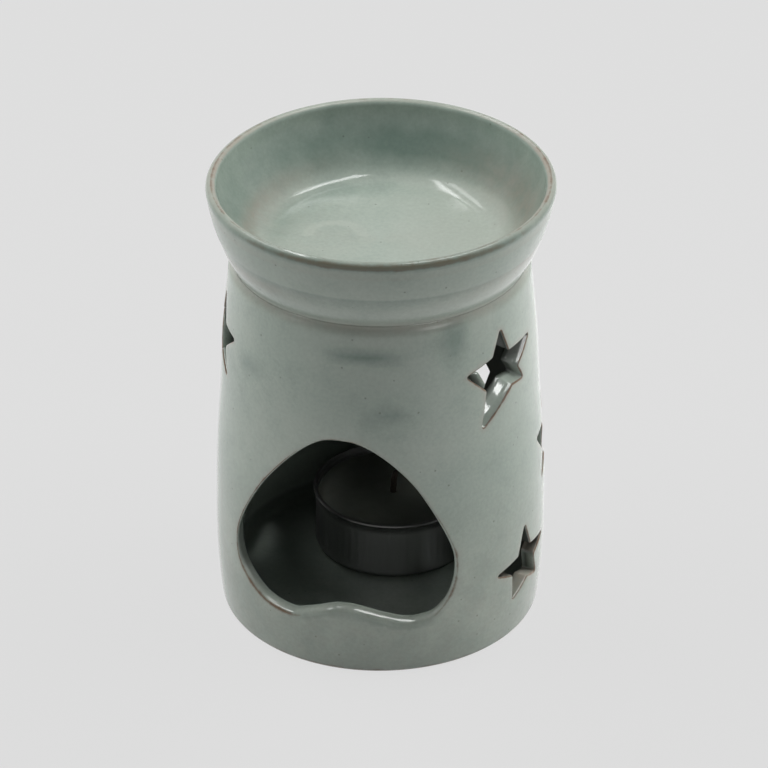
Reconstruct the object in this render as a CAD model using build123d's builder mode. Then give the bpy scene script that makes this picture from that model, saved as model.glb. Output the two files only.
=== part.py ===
from build123d import *
import math
import os

# Essential oil burner: a pierced stoneware body, an oil dish luted on its shoulder,
# and a tealight that stands in the chamber and comes out through the heart doorway.
# Millimetres, +Z up, origin at the middle of the foot, doorway facing -Y.

# Body
body_height = 90.0
belly_radius = 38.5
belly_height = 22.0
foot_taper = 1.1
shoulder_taper = 3.75
wall = 3.5
floor_height = 6.0
chamber_corner = 3.0
foot_round = 1.5
shoulder_drop = 3.0
shoulder_inset = 1.05
foot_ring_width = 7.0
foot_recess = 1.2

# Oil dish
dish_height = 20.0
rim_overhang = 5.25
rim_lean = 8.5
lip = 2.5
dish_floor = 4.5
neck_flare = 0.9
neck_rise = 2.0
bowl_curve = 13.16
bend_inset = 6.5
bend_rise = 3.3
bend_lean = 37.3

# Tealight
tealight_radius = 19.0
cup_height = 15.0
cup_wall = 0.4
cup_bead = 0.5
cup_base_round = 1.5
wax_freeboard = 2.6
wick_diameter = 1.6
wick_stand = 6.0
sustainer_radius = 7.0
sustainer_thickness = 0.4
neck_wall = 0.5
neck_height = 3.0
back_gap = 1.9

# Heart doorway, point up
sill_height = 12.6
heart_height = 49.4
doorway_clearance = 7.6
notch_rise = 4.8
lobe_spread = 14.0
lobe_rise = 12.8
crown_drop = 4.0
crown_share = 0.38
flank_drop = 15.6
flank_share = 0.73
cut_edge_round = 1.0

# Stars, placed by the angle from the doorway towards +X, and turned in the wall
star_radius = 10.5
star_inner_radius = 4.9
star_arms = 5
upper_star_drop = 17.3
lower_star_height = 18.3
right_star_height = 43.6

# Sizes that follow from the driving ones
foot_radius = belly_radius - foot_taper
shoulder_radius = belly_radius - shoulder_taper
seat_radius = shoulder_radius - shoulder_inset
chamber_floor_radius = foot_radius - wall - chamber_corner
ring_inner_radius = foot_radius - foot_round - foot_ring_width
rim_radius = shoulder_radius + rim_overhang
bowl_mouth_radius = rim_radius - lip
bowl_floor_radius = bowl_mouth_radius - bowl_curve
total_height = body_height + dish_height
bowl_floor_height = body_height + dish_floor
lip_height = total_height - lip / 2
dish_neck = (seat_radius + neck_flare, body_height + neck_rise)
bowl_bend = (bowl_mouth_radius - bend_inset, bowl_floor_height + bend_rise)

cup_radius = tealight_radius - cup_bead
cup_base_radius = cup_radius - cup_base_round
wax_bottom = floor_height + cup_wall
wax_top = floor_height + cup_height - wax_freeboard
wick_top = wax_top + wick_stand
neck_radius = wick_diameter / 2 + neck_wall
room_at_base = chamber_floor_radius - cup_base_radius
room_at_rim = belly_radius - wall - tealight_radius
tealight_setback = min(room_at_base, room_at_rim) - back_gap

heart_half_width = tealight_radius + doorway_clearance
heart_top = sill_height + heart_height
lobe_height = sill_height + lobe_rise
notch_height = sill_height + notch_rise
cut_reach = belly_radius + wall

upper_star_height = body_height - upper_star_drop
middle_star_height = (upper_star_height + lower_star_height) / 2
stars = [
    (66, upper_star_height, 0),
    (103, right_star_height, 0),
    (76, lower_star_height, 0),
    (155, middle_star_height, 18),
    (-68, upper_star_height, 0),
    (-112, middle_star_height, 0),
    (-96, lower_star_height, 0),
    (-172, upper_star_height, 0),
]


def star_plane(angle, height):
    """Upright plane through the axis that faces outwards at an angle from the doorway."""
    turn = math.radians(angle)
    outward = (math.sin(turn), -math.cos(turn), 0)
    sideways = (math.cos(turn), math.sin(turn), 0)
    return Plane(origin=(0, 0, height), x_dir=sideways, z_dir=outward)


def star_corners(turned):
    """Tips and inner corners of a star, turned from standing on two arms."""
    corners = []
    for step in range(2 * star_arms):
        reach = star_inner_radius if step % 2 else star_radius
        turn = math.radians(90 + turned + step * 180 / star_arms)
        corners.append((reach * math.cos(turn), reach * math.sin(turn)))
    return corners


# Body: turned wall, floor and foot ring, then the doorway and the stars are cut through the wall
with BuildPart() as burner_body:
    with BuildSketch(Plane.XZ) as body_section:
        with BuildLine() as body_line:
            underside = Polyline(
                (0, floor_height),
                (0, foot_recess),
                (ring_inner_radius - foot_recess, foot_recess),
                (ring_inner_radius, 0),
                (foot_radius - foot_round, 0),
            )
            foot_edge = TangentArc(
                underside @ 1, (foot_radius, foot_round), tangent=(1, 0)
            )
            lower_belly = TangentArc(
                (belly_radius, belly_height), foot_edge @ 1, tangent=(0, -1)
            )
            upper_belly = TangentArc(
                (belly_radius, belly_height),
                (shoulder_radius, body_height - shoulder_drop),
                tangent=(0, 1),
            )
            shoulder_edge = TangentArc(
                upper_belly @ 1, (seat_radius, body_height), tangent=(0, 1)
            )
            seat = Line(shoulder_edge @ 1, (shoulder_radius - wall, body_height))
            upper_chamber = TangentArc(
                (belly_radius - wall, belly_height), seat @ 1, tangent=(0, 1)
            )
            lower_chamber = TangentArc(
                (belly_radius - wall, belly_height),
                (foot_radius - wall, floor_height + chamber_corner),
                tangent=(0, -1),
            )
            corner = TangentArc(
                lower_chamber @ 1, (chamber_floor_radius, floor_height), tangent=(0, -1)
            )
            chamber_floor = Line(corner @ 1, (0, floor_height))
        make_face()
    revolve(axis=Axis.Z)

    with BuildSketch(Plane.XZ) as doorway:
        with BuildLine() as heart_line:
            heart_side = Spline(
                (0, heart_top),
                (crown_share * heart_half_width, heart_top - crown_drop),
                (flank_share * heart_half_width, heart_top - flank_drop),
                (heart_half_width, lobe_height),
                tangents=((1, 0), (0, -1)),
            )
            lobe = Spline(
                heart_side @ 1, (lobe_spread, sill_height), tangents=((0, -1), (-1, 0))
            )
            notch = Spline(lobe @ 1, (0, notch_height), tangents=((-1, 0), (-1, 0)))
            mirror(about=Plane.YZ)
        make_face()
    extrude(amount=cut_reach, mode=Mode.SUBTRACT)
    doorway_edges = burner_body.edges(Select.LAST).filter_by(GeomType.BSPLINE)
    fillet(doorway_edges, radius=cut_edge_round)

    for angle, height, turned in stars:
        with BuildSketch(star_plane(angle, height)) as star:
            with BuildLine() as star_line:
                Polyline(*star_corners(turned), close=True)
            make_face()
        extrude(amount=cut_reach, mode=Mode.SUBTRACT)

# Oil dish: hollow neck, flared wall and rounded lip, standing flat on the body's seat ring
with BuildPart() as oil_dish:
    with BuildSketch(Plane.XZ) as dish_section:
        with BuildLine() as dish_line:
            dish_foot = Polyline(
                (0, bowl_floor_height), (0, body_height), (seat_radius, body_height)
            )
            lean = math.radians(rim_lean)
            rim_fall = (-math.sin(lean), -math.cos(lean))
            flare = TangentArc((rim_radius, lip_height), dish_neck, tangent=rim_fall)
            neck = Spline(flare @ 1, dish_foot @ 1, tangents=(flare % 1, (0, -1)))
            lip_edge = ThreePointArc(
                (rim_radius, lip_height),
                (rim_radius - lip / 2, total_height),
                (rim_radius - lip, lip_height),
            )
            bend = math.radians(bend_lean)
            bend_fall = (-math.sin(bend), -math.cos(bend))
            bowl_wall = Spline(lip_edge @ 1, bowl_bend, tangents=(rim_fall, bend_fall))
            bowl_corner = TangentArc(
                bowl_wall @ 1, (bowl_floor_radius, bowl_floor_height), tangent=bend_fall
            )
            bowl_floor = Line(bowl_corner @ 1, (0, bowl_floor_height))
        make_face()
    revolve(axis=Axis.Z)

# The tealight stands towards the back of the chamber, on its own upright axis
tealight_plane = Plane(origin=(0, tealight_setback, 0), x_dir=(1, 0, 0), z_dir=(0, -1, 0))
tealight_axis = Axis((0, tealight_setback, 0), (0, 0, 1))

# Tealight cup: drawn from thin sheet, rounded at the base and beaded at the rim
with BuildPart() as tealight_cup:
    with BuildSketch(tealight_plane) as cup_section:
        with BuildLine() as cup_line:
            cup_base = Line((0, floor_height), (cup_base_radius, floor_height))
            cup_edge = TangentArc(
                cup_base @ 1, (cup_radius, floor_height + cup_base_round), tangent=(1, 0)
            )
            cup_side = Line(
                cup_edge @ 1, (cup_radius, floor_height + cup_height - 2 * cup_bead)
            )
            bead = TangentArc(
                cup_side @ 1, (cup_radius, floor_height + cup_height), tangent=(1, 0)
            )
            cup_mouth = Polyline(
                bead @ 1,
                (cup_radius - cup_wall, floor_height + cup_height),
                (cup_radius - cup_wall, floor_height + cup_base_round),
            )
            cup_inner_edge = TangentArc(
                cup_mouth @ 1, (cup_base_radius, wax_bottom), tangent=(0, -1)
            )
            cup_floor = Polyline(cup_inner_edge @ 1, (0, wax_bottom), (0, floor_height))
        make_face()
    revolve(axis=tealight_axis)

# Wick sustainer: flat tab on the cup's floor with an upright neck round the wick
with BuildPart() as wick_sustainer:
    with BuildSketch(tealight_plane) as sustainer_section:
        with BuildLine() as sustainer_line:
            Polyline(
                (wick_diameter / 2, wax_bottom),
                (sustainer_radius, wax_bottom),
                (sustainer_radius, wax_bottom + sustainer_thickness),
                (neck_radius, wax_bottom + sustainer_thickness),
                (neck_radius, wax_bottom + neck_height),
                (wick_diameter / 2, wax_bottom + neck_height),
                close=True,
            )
        make_face()
    revolve(axis=tealight_axis)

# Wick: a plain cord that stands on the cup's floor and rises out of the wax
with BuildPart() as tealight_wick:
    with BuildSketch(tealight_plane) as wick_section:
        with BuildLine() as wick_line:
            Polyline(
                (0, wax_bottom),
                (wick_diameter / 2, wax_bottom),
                (wick_diameter / 2, wick_top),
                (0, wick_top),
                close=True,
            )
        make_face()
    revolve(axis=tealight_axis)

# Wax: fills the cup round the wick and the sustainer
with BuildPart() as tealight_wax:
    with BuildSketch(tealight_plane) as wax_section:
        with BuildLine() as wax_line:
            wax_core = Polyline(
                (wick_diameter / 2, wax_top),
                (wick_diameter / 2, wax_bottom + neck_height),
                (neck_radius, wax_bottom + neck_height),
                (neck_radius, wax_bottom + sustainer_thickness),
                (sustainer_radius, wax_bottom + sustainer_thickness),
                (sustainer_radius, wax_bottom),
                (cup_base_radius, wax_bottom),
            )
            wax_edge = TangentArc(
                (cup_radius - cup_wall, floor_height + cup_base_round),
                (cup_base_radius, wax_bottom),
                tangent=(0, -1),
            )
            wax_side = Polyline(wax_edge @ 0, (cup_radius - cup_wall, wax_top), wax_core @ 0)
        make_face()
    revolve(axis=tealight_axis)

os.makedirs("parts", exist_ok=True)
pieces = {
    "burner_body": burner_body,
    "oil_dish": oil_dish,
    "tealight_cup": tealight_cup,
    "wick_sustainer": wick_sustainer,
    "tealight_wick": tealight_wick,
    "tealight_wax": tealight_wax,
}
for piece_name, piece in pieces.items():
    piece.part.label = piece_name
    export_step(piece.part, f"parts/{piece_name}.step")
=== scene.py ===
"""Looks of a hand-thrown stoneware oil burner and its tealight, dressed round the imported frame.

Meshes are modelled in millimetres, with the doorway facing -Y, and turned to metres at the end.
"""

import logging
import math
import random
from dataclasses import dataclass, field
from enum import Enum

import bmesh
import bpy
from bmesh.types import BMEdge, BMesh, BMVert
from bpy.types import Material, NodeSocket, NodeTree, Object
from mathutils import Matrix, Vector, geometry, noise


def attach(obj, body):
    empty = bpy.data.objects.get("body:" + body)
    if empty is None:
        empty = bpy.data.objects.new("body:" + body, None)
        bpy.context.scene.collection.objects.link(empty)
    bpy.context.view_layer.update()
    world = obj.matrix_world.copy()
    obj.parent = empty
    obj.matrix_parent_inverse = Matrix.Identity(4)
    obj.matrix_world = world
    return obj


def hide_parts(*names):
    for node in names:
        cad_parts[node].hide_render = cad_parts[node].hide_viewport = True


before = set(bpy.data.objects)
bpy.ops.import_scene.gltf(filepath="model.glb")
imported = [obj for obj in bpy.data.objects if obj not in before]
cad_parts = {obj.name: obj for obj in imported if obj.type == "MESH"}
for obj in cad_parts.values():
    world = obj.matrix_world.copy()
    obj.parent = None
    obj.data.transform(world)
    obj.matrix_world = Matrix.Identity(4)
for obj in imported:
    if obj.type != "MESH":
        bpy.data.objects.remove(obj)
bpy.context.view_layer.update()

Pair = tuple[float, float]
Triple = tuple[float, float, float]

# Metres in a millimetre, then millimetres within which points are one and faces give way to a cut.
MM = 0.001
MERGE = 0.002
CUT_MARGIN = 0.75
# Degrees from the doorway to the photograph's camera, towards +X.
PHOTO_TURN = 15.0
# What makes a mixing node mix colours.
COLOUR = {"out": 2, "data_type": "RGBA"}

# Worn, warm and pooled shares on each ring of a rounded edge, for the doorway and for stars.
DOOR_EDGE = ((0.4, 0.4, 0.35), (1.0, 0.2, 0.3), (0.42, 0.0, 0.0), (0.0, 0.0, 0.0), (0.0, 0.0, 0.0))
STAR_EDGE = ((0.35, 0.5, 0.0), (0.8, 0.4, 0.0), (1.0, 0.3, 0.0), (0.6, 0.1, 0.0), (0.0, 0.0, 0.0))

log = logging.getLogger("oil_burner")


class Body(Enum):
    """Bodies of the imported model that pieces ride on."""

    BURNER = "burner"
    TEALIGHT = "tealight"


class Slot(Enum):
    """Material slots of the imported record."""

    GLAZE = "celadon_glaze"
    ALUMINIUM = "pressed_aluminium"
    WAX = "candle_wax"
    WICK = "cotton_wick"


class Skin(Enum):
    """Side of the thrown wall that a sheet of faces belongs to."""

    OUTSIDE = 1
    INSIDE = 2


class Light(Enum):
    """What a lamp gives: light without a mirror image, or that image alone, on all pieces or the body."""

    SOFT = "soft"
    SHINE = "shine"
    GLINT = "glint"


class Coat(Enum):
    """Vertex attributes that tell the glaze how it lies on the clay, and where shade and highlights are
    painted into its colour.
    """

    # The thin and pooled shares also carry painted shade under the lip's front; the pooled share also
    # carries painted shade on the bowl's far wall and a painted highlight crescent on the bowl's floor.
    THIN = "glaze_thin"
    POOL = "glaze_pool"
    BLUSH = "glaze_blush"
    RAW = "clay_raw"
    SATIN = "satin_share"
    # Painted shade: darkening painted into the chamber and deep in the cut faces, where shade falls.
    SOOT = "chamber_soot"


def linear(colour: str) -> tuple[float, float, float, float]:
    """Turns an sRGB hex colour into the linear one that shaders take.

    Args:
        colour: Six hex digits after a hash sign.

    Returns:
        Linear red, green, blue and an alpha of one.
    """
    shares = [int(colour[i : i + 2], 16) / 255 for i in (1, 3, 5)]
    lit = [s / 12.92 if s <= 0.04045 else ((s + 0.055) / 1.055) ** 2.4 for s in shares]
    return (*lit, 1.0)


def per_mm(size: float) -> float:
    """Gives the texture scale, in metres of object space, of a feature of a size in millimetres."""
    return 1 / (size * MM)


def clamp(value: float) -> float:
    """Keeps a share between nought and one."""
    return min(1.0, max(0.0, value))


def bell(away: float, width: float) -> float:
    """Gives a soft hump: one where the distance is nought, falling off over the width."""
    return math.exp(-((away / width) ** 2))


def band(value: float, shape: Triple) -> float:
    """Gives the height of a soft hump at a value, from the hump's share, middle and width."""
    return shape[0] * bell(value - shape[1], shape[2])


def cos_deg(angle: float) -> float:
    """Gives the cosine of an angle in degrees."""
    return math.cos(math.radians(angle))


def angle_of(co: Vector) -> float:
    """Gives the angle of a point from the doorway towards +X, in degrees."""
    return math.degrees(math.atan2(co.x, -co.y))


def from_camera(right: float, away: float, up: float) -> Vector:
    """Turns a place as the photograph's camera sees it into the object's frame.

    Args:
        right: Distance to the right.
        away: Distance away from the camera.
        up: Height above the ground.

    Returns:
        The place in the object's frame, in the same unit.
    """
    turn = math.radians(PHOTO_TURN)
    across = Vector((math.cos(turn), math.sin(turn), 0))
    back = Vector((-math.sin(turn), math.cos(turn), 0))
    return across * right + back * away + Vector((0, 0, up))


@dataclass
class Graph:
    """Node graph of a material or of the world, empty when it is taken up."""

    tree: NodeTree

    def __post_init__(self) -> None:
        """Clears the tree."""
        self.tree.nodes.clear()

    def add(
        self, kind: str, inputs: dict | None = None, out: int | str = 0, **settings: object
    ) -> NodeSocket | None:
        """Adds a node with its settings and links.

        Args:
            kind: Blender's name of the node type, without its first part.
            inputs: Values or output sockets, by the name or index of the input.
            out: Name or index of the output that is wanted.
            **settings: Properties of the node itself.

        Returns:
            The wanted output, or nothing from a node that ends the graph.
        """
        node = self.tree.nodes.new("ShaderNode" + kind)
        for name, value in settings.items():
            setattr(node, name, value)
        for key, value in (inputs or {}).items():
            if isinstance(value, NodeSocket):
                self.tree.links.new(value, node.inputs[key])
            else:
                node.inputs[key].default_value = value
        return node.outputs[out] if node.outputs else None


def new_material(name: str) -> tuple[Material, Graph]:
    """Makes an empty node material.

    Args:
        name: Common name of the real material.

    Returns:
        The material and its graph.
    """
    material = bpy.data.materials.new(name)
    material.use_nodes = True
    return material, Graph(material.node_tree)


def arc_points(start: Vector, heading: Vector, end: Vector, steps: int) -> list[Vector]:
    """Samples the circular arc that leaves a point along a heading and ends at another.

    Args:
        start: First point, radius and height.
        heading: Direction of the arc at its start.
        end: Last point.
        steps: Number of parts the arc is cut into.

    Returns:
        The points after the first one, the last of them the end.
    """
    chord = end - start
    lean = heading.angle_signed(chord)
    way = heading.normalized()
    points = []
    for step in range(1, steps + 1):
        turn = lean * step / steps
        reach = chord.length * math.sin(turn) / math.sin(lean)
        cos, sin = math.cos(-turn), math.sin(-turn)
        points.append(start + reach * Vector((way.x * cos - way.y * sin, way.x * sin + way.y * cos)))
    return points


def smooth_loop(points: list[Vector], steps: int) -> list[Vector]:
    """Draws a smooth closed line through a few points.

    Args:
        points: Points to pass through, in order round the loop.
        steps: Number of samples from one point to the next.

    Returns:
        Samples once round the loop.
    """
    loop = []
    count = len(points)
    for i in range(count):
        before, start, end, after = (points[(i + k) % count] for k in (-1, 0, 1, 2))
        out = start + (end - before) / 6
        back = end - (after - start) / 6
        loop += geometry.interpolate_bezier(start, out, back, end, steps + 1)[:-1]
    return [Vector(p) for p in loop]


def rounded_loop(corners: list[Vector], rounds: list[float], spacing: float) -> list[Vector]:
    """Draws a closed outline of straight cuts with its corners rounded off.

    Args:
        corners: Corners in order round the loop.
        rounds: Rounding radius of each corner.
        spacing: Longest step along the straight cuts.

    Returns:
        Samples once round the outline.
    """
    longest, pull, samples = 0.45, 0.6, 7
    ends = []
    for i, corner in enumerate(corners):
        before = corners[i - 1] - corner
        after = corners[(i + 1) % len(corners)] - corner
        half = before.angle(after) / 2
        setback = min(rounds[i] / math.tan(half), longest * min(before.length, after.length))
        ends.append((corner + before.normalized() * setback, corner + after.normalized() * setback))
    loop = []
    for i, (start, end) in enumerate(ends):
        inward = (start.lerp(corners[i], pull), end.lerp(corners[i], pull))
        loop += [Vector(p) for p in geometry.interpolate_bezier(start, *inward, end, samples)]
        following = ends[(i + 1) % len(ends)][0]
        cuts = max(1, round((following - end).length / spacing))
        loop += [end.lerp(following, k / cuts) for k in range(1, cuts)]
    return loop


def near_loop(point: Vector, loop: list[Vector], margin: float) -> bool:
    """Tells whether a flat point lies inside a loop or close to it.

    Args:
        point: Point of the flat sheet.
        loop: Samples once round the loop.
        margin: Distance that counts as close.

    Returns:
        True where the point is inside or within the margin.
    """
    inside = False
    for a, b in zip(loop, loop[1:] + loop[:1]):
        if (a.xy - point).length < margin:
            return True
        if (a.y > point.y) != (b.y > point.y):
            if point.x < a.x + (point.y - a.y) * (b.x - a.x) / (b.y - a.y):
                inside = not inside
    return inside


def coat_layers(bm: BMesh) -> dict:
    """Gives the mesh's layer of each coat, made where it is missing."""
    layers = bm.verts.layers.float
    return {coat: layers.get(coat.value) or layers.new(coat.value) for coat in Coat}


def extrude_ring(bm: BMesh, edges: list[BMEdge]) -> tuple[set[BMVert], list[BMEdge]]:
    """Extrudes a ring of edges in place.

    Args:
        bm: Mesh being modelled.
        edges: Ring of edges to extrude.

    Returns:
        Points and edges of the new ring.
    """
    made = bmesh.ops.extrude_edge_only(bm, edges=edges)["geom"]
    verts = {item for item in made if isinstance(item, BMVert)}
    return verts, [e for e in made if isinstance(e, BMEdge) and verts.issuperset(e.verts)]


def carry_ring(bm: BMesh, edges: list[BMEdge], radius: float, height: float) -> list[BMEdge]:
    """Extrudes a ring of edges to another radius and height about the upright axis.

    Args:
        bm: Mesh being modelled.
        edges: Ring of edges to extrude.
        radius: Radius of the new ring.
        height: Height of the new ring.

    Returns:
        Edges of the new ring.
    """
    verts, ring = extrude_ring(bm, edges)
    for vert in verts:
        spoke = vert.co.xy.normalized() * radius
        vert.co = (spoke.x, spoke.y, height)
    return ring


def spin_section(section: list[Vector], steps: int) -> BMesh:
    """Turns a section of radii and heights into a closed round piece.

    Args:
        section: Points from the axis round the section and back to the axis.
        steps: Number of steps in the full turn.

    Returns:
        The turned mesh, with merged poles and faces pointing outwards.
    """
    bm = bmesh.new()
    verts = [bm.verts.new((p.x, 0, p.y)) for p in section]
    edges = [bm.edges.new(pair) for pair in zip(verts, verts[1:])]
    bmesh.ops.spin(
        bm, geom=verts + edges, cent=(0, 0, 0), axis=(0, 0, 1),
        angle=math.tau, steps=steps, use_merge=True,
    )
    bmesh.ops.remove_doubles(bm, verts=bm.verts, dist=MERGE)
    bmesh.ops.recalc_face_normals(bm, faces=bm.faces)
    return bm


def throw_wobble(bm: BMesh, sway: float, rings: float) -> None:
    """Gives a turned piece the slow sway and the faint rings of hand throwing, with a trued rim.

    Args:
        bm: Mesh in millimetres.
        sway: Largest slow change of radius.
        rings: Height of the throwing rings.
    """
    wide, tall, ring_gap = 34, 46, 2.6
    true_from, true_to = 92, 106
    for vert in bm.verts:
        radius = vert.co.xy.length
        if radius <= 0.01:
            continue
        free = clamp((true_to - vert.co.z) / (true_to - true_from))
        slow = free * noise.noise(Vector((vert.co.x / wide, vert.co.y / wide, vert.co.z / tall + 3.7)))
        turn = math.radians(angle_of(vert.co))
        ring = noise.noise(Vector((0.4 * math.cos(turn), 0.4 * math.sin(turn), vert.co.z / ring_gap)))
        push = min(1.0, radius / 20) * (sway * slow + rings * ring)
        vert.co.x *= 1 + push / radius
        vert.co.y *= 1 + push / radius


def settle_seam(bm: BMesh) -> None:
    """Tilts the luted seam a little, and sets the dish aside and lower on one side, as fired ware does.

    Args:
        bm: Mesh of the body or the dish, in millimetres.
    """
    seam, neck, rim, rim_radius = 90, 92, 110, 40
    lift, tilt, highest = 0.15, 0.75, 20
    aside, sag = 0.2, 0.55
    across = from_camera(1, 0, 0)
    for vert in bm.verts:
        near = min(1.0, vert.co.xy.length / 30) * bell(vert.co.z - seam, 5)
        vert.co.z += near * (lift + tilt * cos_deg(angle_of(vert.co) - highest))
        rise = (vert.co.z - neck) / (rim - neck)
        if rise > 0:
            vert.co += rise * aside * across
            vert.co.z -= rise * sag * max(0.0, -across.dot(vert.co) / rim_radius) ** 1.5


def make_piece(name: str, bm: BMesh, material: Material, body: Body, node: str) -> Object:
    """Turns a mesh in millimetres into a piece that stands for a CAD node.

    Args:
        name: Name of the piece.
        bm: Finished mesh, which is freed.
        material: Finish of the piece.
        body: Body that the piece moves with.
        node: CAD node that the piece replaces.

    Returns:
        The new object.
    """
    bmesh.ops.scale(bm, vec=(MM, MM, MM), verts=bm.verts)
    mesh = bpy.data.meshes.new(name)
    bm.to_mesh(mesh)
    bm.free()
    mesh.shade_smooth()
    mesh.materials.append(material)
    piece = bpy.data.objects.new(name, mesh)
    bpy.context.collection.objects.link(piece)
    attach(piece, body.value)
    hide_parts(node)
    log.info("%s: %d faces for %s", name, len(mesh.polygons), node)
    return piece


@dataclass(frozen=True)
class CeladonGlaze:
    """Fired celadon glaze on stoneware: glassy, mottled, and broken to brown where it runs thin."""

    base: str = "#9FABA1"
    pale: str = "#B4BCB2"
    teal: str = "#667B71"
    brown: str = "#67472F"
    # Olive of thin glaze where it pools, also painted as shade in the band under the lip's front.
    olive_and_lip_shade: str = "#70705F"
    blush: str = "#A5978B"
    clay: str = "#8F7C68"
    # Dark grey painted as shade in the chamber and deep in cut faces.
    soot: str = "#23231F"
    speck: str = "#3F3A31"
    cloud_mm: float = 28.0
    mottle_mm: float = 9.0
    grain_mm: float = 0.9
    ragged_mm: float = 3.5
    wave_mm: float = 4.0
    speck_mm: float = 2.9
    speck_share: float = 0.3
    roughness: float = 0.09
    clay_roughness: float = 0.75
    ior: float = 1.54

    def make(self) -> Material:
        """Builds the glaze.

        Returns:
            The material, which reads the coat attributes of the piece.
        """
        material, graph = new_material("celadon_glazed_stoneware")
        place = graph.add("TexCoord", out="Object")
        coat = {c: graph.add("Attribute", out="Fac", attribute_name=c.value) for c in Coat}
        patterns = (
            (self.cloud_mm, 3.0, 0.55), (self.mottle_mm, 5.0, 0.6), (self.grain_mm, 2.0, 0.6),
            (self.ragged_mm, 4.0, 0.65), (self.wave_mm, 2.0, 0.4),
        )
        *grains, ragged, wave = (
            graph.add("TexNoise", {"Vector": place, "Scale": per_mm(s), "Detail": d, "Roughness": r})
            for s, d, r in patterns
        )
        specks = self.iron_specks(graph, place)
        colour = self.mottled_colour(graph, grains, coat[Coat.POOL])
        colour = graph.add("Mix", {0: specks, "A": colour, "B": linear(self.speck)}, **COLOUR)
        dull = graph.add("Math", {0: coat[Coat.RAW], 1: coat[Coat.SATIN]}, operation="MAXIMUM")
        spread = {"Value": dull, "To Min": self.roughness, "To Max": self.clay_roughness}
        soft = graph.add("Bump", {"Strength": 0.35, "Distance": 0.12 * MM, "Height": wave})
        pits = {"Strength": 0.4, "Distance": 0.08 * MM, "Height": specks, "Normal": soft}
        look = {
            "Base Color": self.broken_edges(graph, ragged, coat, colour),
            "Roughness": graph.add("MapRange", spread),
            "IOR": self.ior,
            "Normal": graph.add("Bump", pits, invert=True),
        }
        graph.add("OutputMaterial", {"Surface": graph.add("BsdfPrincipled", look)})
        return material

    def mottled_colour(self, graph: Graph, grains: list[NodeSocket], pool: NodeSocket) -> NodeSocket:
        """Mixes the glaze's own colour, pale where thin and teal where it pools.

        Args:
            graph: Graph of the glaze.
            grains: Cloudy, mottled and fine patterns.
            pool: Share of pooled glaze, with the painted shade on the bowl's far wall and under the lip's
                front, and the painted highlight crescent.

        Returns:
            Colour socket.
        """
        cloud, mottle, grain = grains
        clear = graph.add("Math", {0: cloud, 1: pool}, operation="SUBTRACT")
        broken = graph.add("Math", {0: mottle, 1: 0.75, 2: pool}, operation="MULTIPLY_ADD")
        light = graph.add("MapRange", {"Value": clear, "From Min": 0.4, "From Max": 0.7, "To Max": 0.55})
        deep = graph.add("MapRange", {"Value": broken, "From Min": 0.4, "From Max": 1.15, "To Max": 0.9})
        span = {"From Min": 0.3, "From Max": 0.7, "To Min": 0.95, "To Max": 1.045}
        shade = graph.add("MapRange", {"Value": grain, **span})
        grey = graph.add("CombineColor", {i: shade for i in range(3)})
        colour = linear(self.base)
        for share, tint in ((light, self.pale), (deep, self.teal)):
            colour = graph.add("Mix", {0: share, "A": colour, "B": linear(tint)}, **COLOUR)
        return graph.add("Mix", {0: 1.0, "A": colour, "B": grey}, blend_type="MULTIPLY", **COLOUR)

    def iron_specks(self, graph: Graph, place: NodeSocket) -> NodeSocket:
        """Scatters the small iron specks that come through the glaze.

        Args:
            graph: Graph of the glaze.
            place: Object coordinates.

        Returns:
            Mask socket, more than nought inside a speck.
        """
        cells = graph.add("TexVoronoi", {"Vector": place, "Scale": per_mm(self.speck_mm)}, "Color")
        away = cells.node.outputs["Distance"]
        lot = graph.add("SeparateColor", {"Color": cells})
        drawn = graph.add("Math", {0: lot, 1: self.speck_share}, operation="LESS_THAN")
        dot = graph.add("MapRange", {"Value": away, "From Min": 0.11, "From Max": 0.04, "To Max": 0.42})
        return graph.add("Math", {0: dot, 1: drawn}, operation="MULTIPLY")

    def broken_edges(
        self, graph: Graph, ragged: NodeSocket, coat: dict, colour: NodeSocket
    ) -> NodeSocket:
        """Lets the clay show brown at thin edges and raw at the foot, and paints shade dark in the chamber
        and deep in cut faces.

        Args:
            graph: Graph of the glaze.
            ragged: Pattern that breaks the edges up.
            coat: Attribute outputs by coat.
            colour: Colour of the glaze so far.

        Returns:
            Colour socket.
        """
        flush = graph.add("Math", {0: ragged, 1: coat[Coat.BLUSH]}, operation="MULTIPLY")
        ridge = graph.add("Math", {0: ragged, 1: coat[Coat.THIN]}, operation="ADD")
        thin = graph.add("MapRange", {"Value": ridge, "From Min": 0.95, "From Max": 1.45, "To Max": 0.9})
        brown = {0: coat[Coat.POOL], "A": linear(self.brown), "B": linear(self.olive_and_lip_shade)}
        # The brown layer also paints shade under the lip's front, and the dark grey layer paints shade in
        # the chamber and in cut faces.
        layers = (
            (flush, linear(self.blush)), (thin, graph.add("Mix", brown, **COLOUR)),
            (coat[Coat.SOOT], linear(self.soot)), (coat[Coat.RAW], linear(self.clay)),
        )
        for share, tint in layers:
            colour = graph.add("Mix", {0: share, "A": colour, "B": tint}, **COLOUR)
        return colour


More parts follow.
